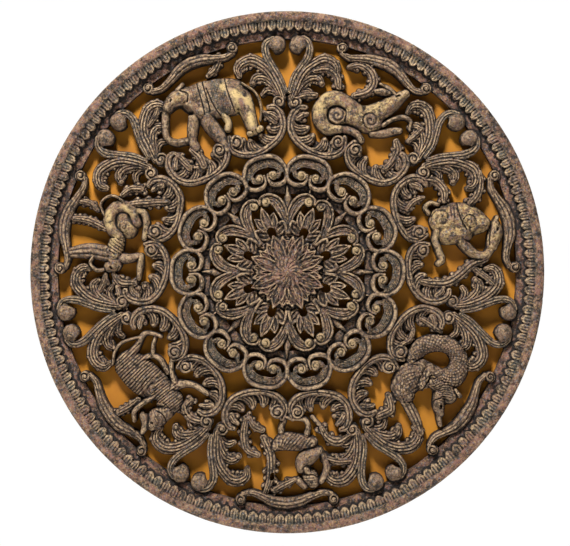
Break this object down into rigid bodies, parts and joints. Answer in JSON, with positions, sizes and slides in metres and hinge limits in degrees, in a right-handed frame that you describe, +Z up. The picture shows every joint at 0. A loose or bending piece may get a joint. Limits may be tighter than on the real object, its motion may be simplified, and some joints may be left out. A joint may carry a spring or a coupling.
{
  "type": "carved openwork panel",
  "caption": "Round openwork panel of carved wood: a moulded rim, framed animals, a ring of C-scrolls and a petalled rosette in front of a plain painted board.",
  "frame": {"origin": "centre of the backing board's flat rear face", "axes": "+Z up, +X to the right as seen from the front, -Y out of the carved front, +Y towards the wall"},
  "size_m": [0.984, 0.0603, 1],
  "materials": {
    "carved_wood": "weathered wood with worn red-brown lacquer on the rim and remains of gold on the animals",
    "ochre_board": "matt ochre-orange paint"
  },
  "bodies": {
    "root": {"carved_panel": "carved_wood", "backing_board": "ochre_board"}
  },
  "joints": []
}
